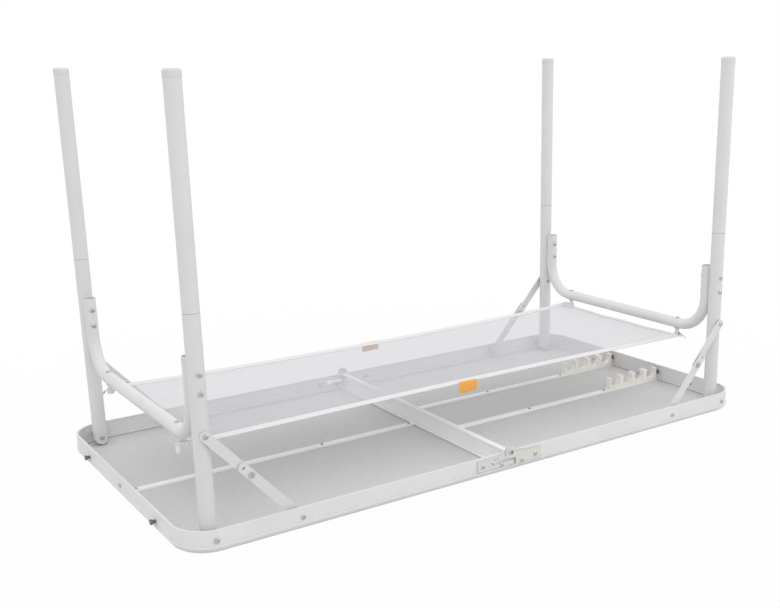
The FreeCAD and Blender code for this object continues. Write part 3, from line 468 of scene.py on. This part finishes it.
def grown(name, base, tree, **sizes):
    """Runs a node tree on an object and keeps the result as a plain mesh piece."""
    modifier = base.modifiers.new(tree.name, "NODES")
    modifier.node_group = tree
    for item in tree.interface.items_tree:
        if item.in_out == "INPUT" and item.name in sizes:
            modifier[item.identifier] = sizes[item.name]
    scene_state = bpy.context.evaluated_depsgraph_get()
    mesh = bpy.data.meshes.new_from_object(base.evaluated_get(scene_state))
    bpy.data.objects.remove(base)
    mesh.name = name
    piece = bpy.data.objects.new(name, mesh)
    bpy.context.scene.collection.objects.link(piece)
    return piece


def point_line(name, points):
    mesh = bpy.data.meshes.new(name)
    mesh.from_pydata([tuple(p) for p in points], [(i, i + 1) for i in range(len(points) - 1)], [])
    line = bpy.data.objects.new(name, mesh)
    bpy.context.scene.collection.objects.link(line)
    return line


thread_finish = woven_tape("hem_thread", (0.88, 0.88, 0.9), 0.8 * MM)
hem_stitches = stitch_tree("hem_stitches", thread_finish)
SECTIONS = (
    ("left_end", -NET_END, -TUCK_START),
    ("left", -TUCK_START, -FOLD_REACH),
    ("middle", -FOLD_REACH, FOLD_REACH),
    ("right", FOLD_REACH, TUCK_START),
    ("right_end", TUCK_START, NET_END),
)


def join_motion(piece, part):
    """Lets a piece of the net follow the halves; the middle piece stays fixed where it lies."""
    if part == "middle":
        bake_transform(piece)
        return
    side = part.removesuffix("_end")
    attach(piece, f"{side}_half")
    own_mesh(piece)


def stitch_line(part, start, stop, side, inset):
    points = []
    for x in steps(start + 4 * MM, stop - 4 * MM, max(12, round((stop - start) / (10 * MM)))):
        y = side * (half_width(x) - inset)
        points.append((x, y, net_level(x, side) + HEM_THICK / 2))
    return point_line(f"stitch_line_{part}", points)


for part, start, stop in SECTIONS:
    cloth = net_section(f"shelf_net_{part}", start, stop)
    trims = [hem_section(f"net_hem_{part}_{n}", start, stop, s) for n, s in (("near", NEAR), ("far", FAR))]
    for n, s in (("near", NEAR), ("far", FAR)):
        seam = stitch_line(part, start, stop, s, HEM_WIDTH * 0.8)
        trims.append(grown(f"hem_stitches_{part}_{n}", seam, hem_stitches, Spacing=5 * MM))
    if part.endswith("_end"):
        trims.append(end_hem(f"net_hem_{part}", LEFT if part == "left_end" else RIGHT))
    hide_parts("shelf_net")
    join_motion(cloth, part)
    for trim in trims:
        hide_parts("net_hems")
        join_motion(trim, part)


def net_flap(name, side):
    """A plain flap sewn to the hem's outer edge, which hangs down from it."""
    low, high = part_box("net_tags")
    half, thick = (high.x - low.x) / 2, 0.9 * MM
    drop = ((-2.5, 1.5), (0.4, 1.3), (1.4, -0.6), (1.8, -4), (2.1, -9), (1.9, -14), (1.3, -18.5))
    reach = [Vector((0, side * y * MM, z * MM)) for y, z in drop]
    edge = Vector((0, side * half_width(0), net_level(0, side)))
    rows = [edge + p for p in reach]
    points = []
    for x in steps(-half, half, 9):
        curl = 0.6 * MM * math.sin(3 * x / half)
        points += [p + Vector((x, 0, curl * i / len(rows))) for i, p in enumerate(rows)]
    flap = new_piece(name, points, grid_faces(9, len(rows)), finishes["tag_orange"])
    thicken = flap.modifiers.new("thickness", "SOLIDIFY")
    thicken.thickness = thick
    soften = flap.modifiers.new("soft", "SUBSURF")
    soften.levels = soften.render_levels = 1
    baked = bpy.data.meshes.new_from_object(flap.evaluated_get(bpy.context.evaluated_depsgraph_get()))
    flap.modifiers.clear()
    flap.data = baked
    outward_faces(flap)
    return flap


for name, side in (("near", NEAR), ("far", FAR)):
    flap = net_flap(f"net_flap_{name}", side)
    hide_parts("net_tags")
    join_motion(flap, "middle")


UP = Vector((0, 0, 1))
LOOP_HALF_THICK, LOOP_HALF_HIGH = 0.8 * MM, 4 * MM
LOOP_SPREAD, LOOP_LEAD = 6 * MM, 4 * MM
LOOP_ROUND_POST = 5.4 * MM
TAIL_THICK = 1.5 * MM


def button_post(end, side):
    """The middle of the button's post that a corner of the net hangs on."""
    low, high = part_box(f"{'left' if end == LEFT else 'right'}_net_buttons")
    return Vector(((low.x + high.x) / 2, side * (high.y - (high.x - low.x) / 2), NET_LEVEL))


def corner_loop(name, end, side):
    """Tape from a net corner round the button's post and back."""
    post = button_post(end, side)
    corner = Vector((end * (HEM_END - 2 * MM), side * (END_HALF - 5 * MM), net_level(end * NET_END, side)))
    towards = (post - corner).normalized()
    sideways = towards.cross(UP).normalized()
    lead = corner + towards * LOOP_LEAD
    path = [corner + sideways * LOOP_SPREAD, lead + sideways * LOOP_SPREAD]
    for angle in steps(80, -80, 13):
        turn = math.radians(angle)
        path.append(post + (towards * math.cos(turn) + sideways * math.sin(turn)) * LOOP_ROUND_POST)
    path += [lead - sideways * LOOP_SPREAD, corner - sideways * LOOP_SPREAD]
    loops = []
    for i, point in enumerate(path):
        run = (path[min(i + 1, len(path) - 1)] - path[max(i - 1, 0)]).normalized()
        aside = run.cross(UP).normalized()
        turns = [2 * math.pi * k / 8 for k in range(8)]
        loops.append([
            point + aside * LOOP_HALF_THICK * math.cos(turn) + UP * LOOP_HALF_HIGH * math.sin(turn)
            for turn in turns
        ])
    return swept_band(name, loops, finishes["hem_fabric"])


def corner_tail(name, end, side):
    """The loop's loose end, which sticks out past the button and droops."""
    post = button_post(end, side)
    out = Vector((end * 0.45, side * 0.9, 0)).normalized()
    aside = out.cross(UP)
    run = ((5.6, 0, 8), (9, 0.4, 8), (13, 2.2, 7.4), (16.5, 5.6, 6.6), (18.5, 9.5, 5.4))
    loops = []
    for reach, droop, width in run:
        point = post + out * reach * MM - UP * droop * MM
        loops.append(band_loop(point, aside, width * MM, TAIL_THICK))
    return swept_band(name, loops, finishes["hem_fabric"])


for end_name, end in (("left", LEFT), ("right", RIGHT)):
    for side_name, side in (("near", NEAR), ("far", FAR)):
        corner = f"{side_name}_{end_name}"
        for make, kind in ((corner_loop, "loop"), (corner_tail, "tail")):
            strap = make(f"corner_{kind}_{corner}", end, side)
            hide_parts(f"{end_name}_net_loops")
            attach(strap, f"{end_name}_leg_frame")


# Small screws that only dress the part

def screw_tree(name, metal, recess):
    """Nodes that set a pan-head screw on each point, along its facing attribute, with a flush cross painted
    near-black as the shade in a cross recess.
    """
    tree = bpy.data.node_groups.new(name, "GeometryNodeTree")
    face = tree.interface
    face.new_socket("Geometry", in_out="INPUT", socket_type="NodeSocketGeometry")
    for label, value in (("Head radius", 4 * MM), ("Head height", 2 * MM)):
        face.new_socket(label, in_out="INPUT", socket_type="NodeSocketFloat").default_value = value
    face.new_socket("Geometry", in_out="OUTPUT", socket_type="NodeSocketGeometry")
    add, link = tree.nodes.new, tree.links.new
    entry, leave = add("NodeGroupInput"), add("NodeGroupOutput")
    cross, whole = add("GeometryNodeJoinGeometry"), add("GeometryNodeJoinGeometry")
    for size in ((1.1, 0.24, 0.5), (0.24, 1.1, 0.5)):
        bar, lift = add("GeometryNodeMeshCube"), add("GeometryNodeTransform")
        bar.inputs["Size"].default_value = size
        lift.inputs["Translation"].default_value = (0, 0, 0.77)
        link(bar.outputs["Mesh"], lift.inputs["Geometry"])
        link(lift.outputs["Geometry"], cross.inputs["Geometry"])
    mark = add("GeometryNodeStoreNamedAttribute")
    mark.data_type, mark.domain = "BOOLEAN", "FACE"
    mark.inputs["Name"].default_value = "recess"
    mark.inputs["Value"].default_value = True
    link(cross.outputs["Geometry"], mark.inputs["Geometry"])
    link(mark.outputs["Geometry"], whole.inputs["Geometry"])
    rings = ((0.0, 1.0, 0.97, 0.4), (0.4, 0.97, 0.88, 0.35), (0.75, 0.88, 0.68, 0.25))
    for low, wide, narrow, depth in rings:
        ring, lift = add("GeometryNodeMeshCone"), add("GeometryNodeTransform")
        ring.inputs["Vertices"].default_value = 24
        ring.inputs["Radius Bottom"].default_value = wide
        ring.inputs["Radius Top"].default_value = narrow
        ring.inputs["Depth"].default_value = depth
        lift.inputs["Translation"].default_value = (0, 0, low)
        link(ring.outputs["Mesh"], lift.inputs["Geometry"])
        link(lift.outputs["Geometry"], whole.inputs["Geometry"])
    shape, size = add("GeometryNodeTransform"), add("ShaderNodeCombineXYZ")
    link(whole.outputs["Geometry"], shape.inputs["Geometry"])
    for axis, source in zip("XYZ", ("Head radius", "Head radius", "Head height")):
        link(entry.outputs[source], size.inputs[axis])
    link(size.outputs["Vector"], shape.inputs["Scale"])
    aim = add("FunctionNodeAlignRotationToVector")
    aim.axis = "Z"
    facing, marked = add("GeometryNodeInputNamedAttribute"), add("GeometryNodeInputNamedAttribute")
    facing.data_type, marked.data_type = "FLOAT_VECTOR", "BOOLEAN"
    facing.inputs["Name"].default_value = "facing"
    marked.inputs["Name"].default_value = "recess"
    points, spread = add("GeometryNodeMeshToPoints"), add("GeometryNodeInstanceOnPoints")
    real = add("GeometryNodeRealizeInstances")
    link(entry.outputs["Geometry"], points.inputs["Mesh"])
    link(facing.outputs["Attribute"], aim.inputs["Vector"])
    link(points.outputs["Points"], spread.inputs["Points"])
    link(shape.outputs["Geometry"], spread.inputs["Instance"])
    link(aim.outputs["Rotation"], spread.inputs["Rotation"])
    link(spread.outputs["Instances"], real.inputs["Geometry"])
    last = real.outputs["Geometry"]
    for material, chosen in ((metal, None), (recess, marked.outputs["Attribute"])):
        paint = add("GeometryNodeSetMaterial")
        paint.inputs["Material"].default_value = material
        link(last, paint.inputs["Geometry"])
        if chosen:
            link(chosen, paint.inputs["Selection"])
        last = paint.outputs["Geometry"]
    link(last, leave.inputs["Geometry"])
    return tree


def screw_points(name, places):
    """Loose points that each carry the way their screw faces."""
    mesh = bpy.data.meshes.new(name)
    mesh.from_pydata([tuple(p) for p, _ in places], [], [])
    facing = mesh.attributes.new("facing", "FLOAT_VECTOR", "POINT")
    for item, (_, way) in zip(facing.data, places):
        item.vector = way
    points = bpy.data.objects.new(name, mesh)
    bpy.context.scene.collection.objects.link(points)
    return points


# Painted shade: the cross recess is a near-black cross laid flush on the head, standing in for the shade
# inside a real recess.
painted_recess_shade = moulded_plastic("painted_recess_shade", (0.06, 0.06, 0.06), 0.6)
plated_screws = screw_tree("plated_screws", finishes["rivet_steel"], painted_recess_shade)
dark_screws = screw_tree("dark_screws", own_finish["carry_strap_screws"], painted_recess_shade)
ALONG, ACROSS = Vector((1, 0, 0)), Vector((0, 1, 0))


def rib_screws(node, y, shares):
    """Places along the top of a rib, as shares of its length."""
    low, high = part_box(node)
    return [(Vector((low.x + (high.x - low.x) * share, y, high.z)), UP) for share in shares]


def bolt_faces():
    """The outer face of each hinge bolt's head."""
    low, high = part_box("hinge_bolts")
    rise = 2.9 * MM
    centre = (low + high) / 2
    return [(Vector((centre.x, side * (high.y - rise), centre.z)), side * ACROSS) for side in (NEAR, FAR)]


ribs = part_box("right_ribs")
rib_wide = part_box("left_rib")[1].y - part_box("left_rib")[0].y
rib_line = ribs[1].y - rib_wide / 2
comb_start = (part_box("tube_clips")[0].x - ribs[0].x) / (ribs[1].x - ribs[0].x)
LEFT_SHARES = (0.03, 0.35, 0.65, 0.985)
RIGHT_SHARES = (0.015, comb_start / 2, comb_start - 0.02, 0.992)
left_wall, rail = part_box("left_rim"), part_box("left_cross_rail")
left_places = rib_screws("left_rib", 0, LEFT_SHARES)
right_places = [place for y in (-rib_line, rib_line) for place in rib_screws("right_ribs", y, RIGHT_SHARES)]
wall_out = Vector((left_wall[0].x + 0.8 * MM, 0, 20 * MM))
rail_face = rail[1].x - 2.2 * MM
rail_places = [
    (Vector((rail_face, side * (rail[1].y - reach * MM), height * MM)), -ALONG)
    for side in (NEAR, FAR)
    for reach, height in ((7, 29), (16, 22))
]
for name, tree, places, body, radius, height in (
    ("left_rib_screws", plated_screws, left_places, "left_half", 3.4, 1.6),
    ("right_rib_screws", plated_screws, right_places, "right_half", 3.4, 1.6),
    ("end_wall_screw", plated_screws, [(wall_out, -ALONG)], "left_half", 4, 1.6),
    ("cross_rail_screws", dark_screws, rail_places, "left_half", 3, 1.6),
    ("hinge_bolt_faces", plated_screws, bolt_faces(), "left_half", 5.9, 2.9),
):
    sizes = {"Head radius": radius * MM, "Head height": height * MM}
    heads = grown(name, screw_points(name, places), tree, **sizes)
    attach(heads, body)


# Studio: pale floor, soft light, and the camera where the photograph was taken

def studio_floor():
    """A wide pale floor that is seen as white and still takes the table's shadow."""
    half = 40
    finish = Finish("studio_floor")
    corners = [(x * half, y * half, 0) for x, y in ((-1, -1), (1, -1), (1, 1), (-1, 1))]
    floor = new_piece("studio_floor", corners, [(0, 1, 2, 3)], finish.material)
    floor.location.z = -0.2 * MM
    finish.set("Base Color", (0.6, 0.6, 0.6, 1))
    finish.set("Roughness", 1.0)
    finish.set("Specular IOR Level", 0.0)
    path = finish.node("LightPath").outputs
    mirrored = finish.maths("MAXIMUM", path["Is Glossy Ray"], path["Is Transmission Ray"])
    seen = finish.maths("MAXIMUM", path["Is Camera Ray"], mirrored)
    glow = finish.node("Emission", {"Color": (1, 1, 1, 1), "Strength": 1.0})
    away = finish.node("VectorMath", {0: finish.place}, operation="LENGTH").outputs["Value"]
    share = finish.maths("MULTIPLY", seen, finish.span(away, 0.97, 1.0, 0.5, 1.3))
    blend = finish.node("MixShader", {0: share})
    output = finish.tree.nodes["Material Output"]
    finish.tree.links.new(finish.shader.outputs["BSDF"], blend.inputs[1])
    finish.tree.links.new(glow.outputs["Emission"], blend.inputs[2])
    finish.tree.links.new(blend.outputs["Shader"], output.inputs["Surface"])


def studio_world():
    """Even white light from all around."""
    world = bpy.data.worlds.new("studio")
    bpy.context.scene.world = world
    world.use_nodes = True
    sky = world.node_tree.nodes["Background"]
    sky.inputs["Color"].default_value = (1, 1, 1, 1)
    sky.inputs["Strength"].default_value = 1.0


def soft_lamp(name, place, aim, size, power):
    lamp = bpy.data.lights.new(name, "AREA")
    lamp.shape = "DISK"
    lamp.size = size
    lamp.energy = power
    made = bpy.data.objects.new(name, lamp)
    made.location = place
    made.rotation_euler = (Vector(aim) - Vector(place)).to_track_quat("-Z", "Y").to_euler()
    bpy.context.scene.collection.objects.link(made)


def photo_camera():
    """A pose fitted to the photograph: turns about Z, X and Z, and the offset in the camera's own frame."""
    picture_width, picture_height = 780, 608
    focal_pixels = 1059.7
    middle_x, middle_y = 437.6, 351.7
    roll, tilt, turn = -0.0161, 1.844, 0.5935
    offset = Vector((-0.0408, 0.1467, 2.1162))
    view = Matrix.Rotation(roll, 3, "Z") @ Matrix.Rotation(tilt, 3, "X") @ Matrix.Rotation(turn, 3, "Z")
    camera = bpy.data.cameras.new("camera")
    camera.sensor_width = 36
    camera.lens = focal_pixels * camera.sensor_width / picture_width
    camera.shift_x = (picture_width / 2 - middle_x) / picture_width
    camera.shift_y = (middle_y - picture_height / 2) / picture_width
    made = bpy.data.objects.new("camera", camera)
    axes = view.transposed() @ Matrix.Diagonal((1, -1, -1))
    made.matrix_world = Matrix.Translation(-(view.transposed() @ offset)) @ axes.to_4x4()
    bpy.context.scene.collection.objects.link(made)
    bpy.context.scene.camera = made


studio_floor()
studio_world()
soft_lamp("key_lamp", (-1.6, -2.4, 3.2), (0, 0, 0.2), 2.2, 18)
soft_lamp("fill_lamp", (2.5, -2.2, 1.5), (0.5, 0, 0.3), 1.8, 12)
soft_lamp("back_lamp", (0.4, 2.6, 2.6), (0, 0, 0.3), 2.2, 4)
photo_camera()
bpy.context.scene.view_settings.view_transform = "Standard"
